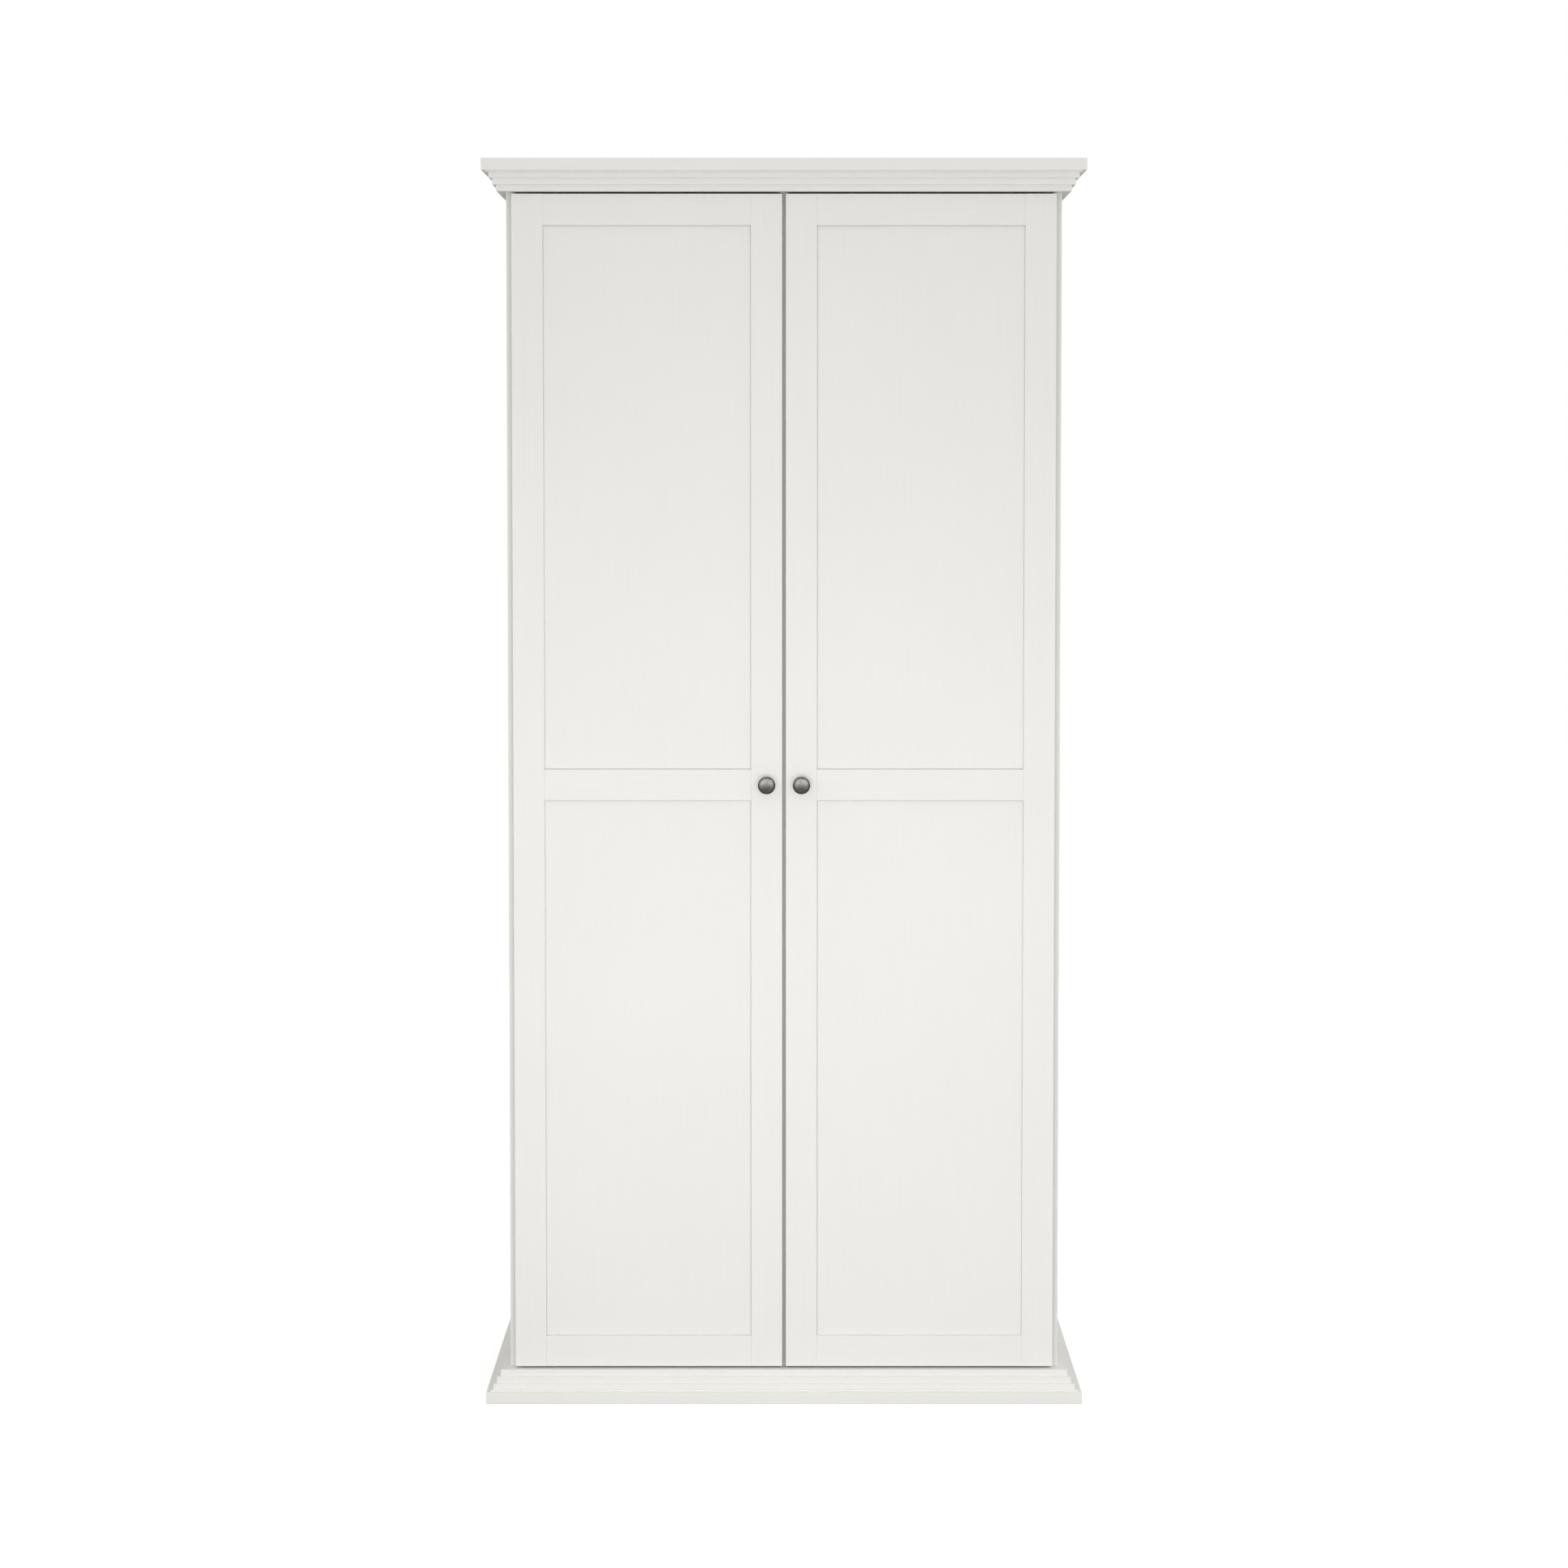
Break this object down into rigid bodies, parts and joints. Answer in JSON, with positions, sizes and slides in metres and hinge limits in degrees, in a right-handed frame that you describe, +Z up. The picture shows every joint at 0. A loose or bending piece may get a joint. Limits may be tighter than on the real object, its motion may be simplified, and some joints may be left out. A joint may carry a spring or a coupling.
{
  "type": "wardrobe",
  "caption": "Tall framed-door wardrobe with a stepped cornice and plinth, a hanging side and a shelved side.",
  "frame": {"origin": "on the floor, in the middle of the base plate's underside", "axes": "+Z up, -Y to the front where the doors are, +X to the right seen from the front"},
  "size_m": [0.962, 0.584, 2],
  "materials": {
    "white_board": "satin white foil",
    "white_moulding": "satin white foil",
    "white_door": "satin white foil",
    "white_hardboard": "white printed hardboard",
    "knob_metal": "dark satin pewter",
    "nickel_steel": "nickel plated",
    "zinc_steel": "bright zinc plated",
    "cam_zinc": "die cast",
    "chromed_rail": "polished",
    "beech": "bare"
  },
  "bodies": {
    "carcass": {"base_plate": "white_board", "cam_bolts": "zinc_steel", "cam_locks": "cam_zinc", "carcass_dowels": "beech", "centre_partition": "white_board", "cornice_front_moulding": "white_moulding", "cornice_left_moulding": "white_moulding", "cornice_right_moulding": "white_moulding", "hanging_rail": "chromed_rail", "hat_shelf": "white_board", "left_back_panel": "white_hardboard", "left_hinge_arms": "nickel_steel", "left_hinge_plates": "nickel_steel", "left_side_panel": "white_board", "plinth_front_moulding": "white_moulding", "plinth_left_moulding": "white_moulding", "plinth_right_moulding": "white_moulding", "rail_sockets": "chromed_rail", "right_back_panel": "white_hardboard", "right_hinge_arms": "nickel_steel", "right_hinge_plates": "nickel_steel", "right_shelf_1": "white_board", "right_shelf_2": "white_board", "right_shelf_3": "white_board", "right_shelf_4": "white_board", "right_side_panel": "white_board", "shelf_pins": "zinc_steel", "top_plate": "white_board", "wall_brackets": "zinc_steel"},
    "left_door": {"left_door_bottom_rail": "white_door", "left_door_hinge_stile": "white_door", "left_door_knob": "knob_metal", "left_door_knob_screw": "zinc_steel", "left_door_lock_stile": "white_door", "left_door_lower_panel": "white_door", "left_door_mid_rail": "white_door", "left_door_top_rail": "white_door", "left_door_upper_panel": "white_door", "left_hinge_cups": "nickel_steel", "left_hinge_pins": "nickel_steel", "left_hinge_springs": "nickel_steel"},
    "right_door": {"right_door_bottom_rail": "white_door", "right_door_hinge_stile": "white_door", "right_door_knob": "knob_metal", "right_door_knob_screw": "zinc_steel", "right_door_lock_stile": "white_door", "right_door_lower_panel": "white_door", "right_door_mid_rail": "white_door", "right_door_top_rail": "white_door", "right_door_upper_panel": "white_door", "right_hinge_cups": "nickel_steel", "right_hinge_pins": "nickel_steel", "right_hinge_springs": "nickel_steel"}
  },
  "joints": [
    {"name": "left_door_swing", "type": "hinge", "parent": "carcass", "child": "left_door", "pos_m": [-0.4275, -0.2465, 0], "axis": [0, 0, -1], "range_deg": [0, 95]},
    {"name": "right_door_swing", "type": "hinge", "parent": "carcass", "child": "right_door", "pos_m": [0.4275, -0.2465, 0], "axis": [0, 0, 1], "range_deg": [0, 95]}
  ]
}
